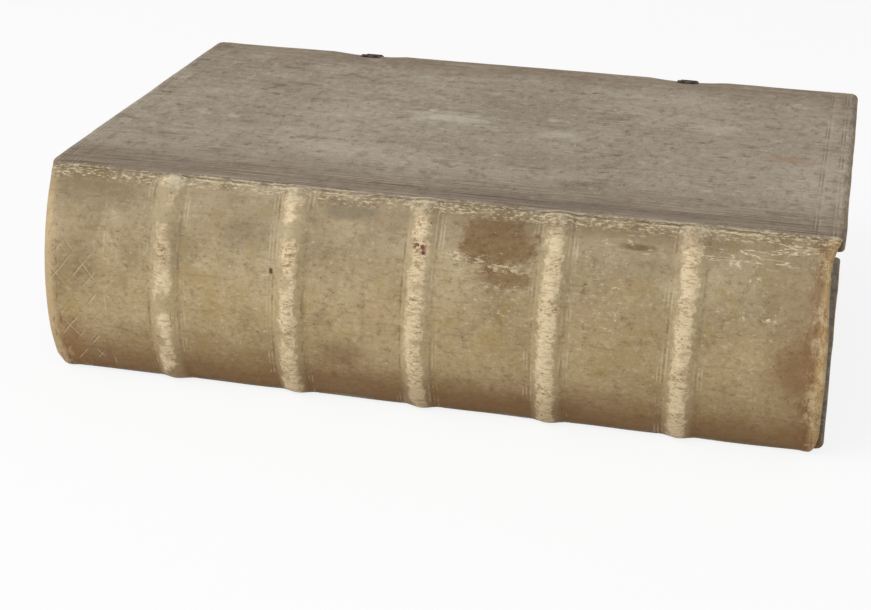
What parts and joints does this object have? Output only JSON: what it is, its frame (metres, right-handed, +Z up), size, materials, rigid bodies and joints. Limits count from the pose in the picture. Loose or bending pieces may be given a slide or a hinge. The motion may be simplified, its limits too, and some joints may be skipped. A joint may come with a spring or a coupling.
{
  "type": "leather-bound book",
  "caption": "Old folio bound in leather over wooden boards, with a rounded spine, raised bands and hinged strap clasps at the fore-edge; covers and clasps open.",
  "frame": {"origin": "centre of the back cover's outer face, which the closed book lies on", "axes": "+X along the spine from head to tail, +Y from the spine to the fore-edge, +Z up through the closed book's thickness"},
  "size_m": [0.38, 0.28, 0.107],
  "materials": {
    "board_wood": "bare old oak",
    "cover_leather": "worn taupe leather with blind lines",
    "spine_leather": "rubbed pale leather, stained",
    "strap_leather": "tawed strap leather",
    "paper": "old rag paper, stained edges",
    "cord": "hemp cord and thread",
    "dark_brass": "dark patinated brass",
    "iron": "rusty iron"
  },
  "bodies": {
    "back_cover": {"back_board": "board_wood", "back_leather": "cover_leather", "back_pastedown": "paper", "back_cord_slips": "cord", "head_strap_anchor": "strap_leather", "tail_strap_anchor": "strap_leather", "strap_nails": "iron"},
    "book_block": {"text_block": "paper", "spine_leather": "spine_leather", "sewing_cord_1": "cord", "sewing_cord_2": "cord", "sewing_cord_3": "cord", "sewing_cord_4": "cord", "sewing_cord_5": "cord", "head_endband": "cord", "tail_endband": "cord"},
    "front_cover": {"front_board": "board_wood", "front_leather": "cover_leather", "front_pastedown": "paper", "front_cord_slips": "cord", "head_catch_plate": "dark_brass", "tail_catch_plate": "dark_brass", "catch_nails": "iron"},
    "head_clasp": {"head_strap": "strap_leather", "head_clasp_plate": "dark_brass", "head_clasp_rivets": "dark_brass"},
    "tail_clasp": {"tail_strap": "strap_leather", "tail_clasp_plate": "dark_brass", "tail_clasp_rivets": "dark_brass"}
  },
  "joints": [
    {"name": "back_joint", "type": "hinge", "parent": "back_cover", "child": "book_block", "pos_m": [0, -0.125, 0], "axis": [1, 0, 0], "range_deg": [0, 50]},
    {"name": "front_joint", "type": "hinge", "parent": "book_block", "child": "front_cover", "pos_m": [0, -0.125, 0.107], "axis": [1, 0, 0], "range_deg": [0, 135]},
    {"name": "head_clasp_fold", "type": "hinge", "parent": "back_cover", "child": "head_clasp", "pos_m": [-0.094, 0.1246, 0.0014], "axis": [-1, 0, 0], "range_deg": [-2.1, 83]},
    {"name": "tail_clasp_fold", "type": "hinge", "parent": "back_cover", "child": "tail_clasp", "pos_m": [0.094, 0.1246, 0.0014], "axis": [-1, 0, 0], "range_deg": [-2.1, 83]}
  ]
}
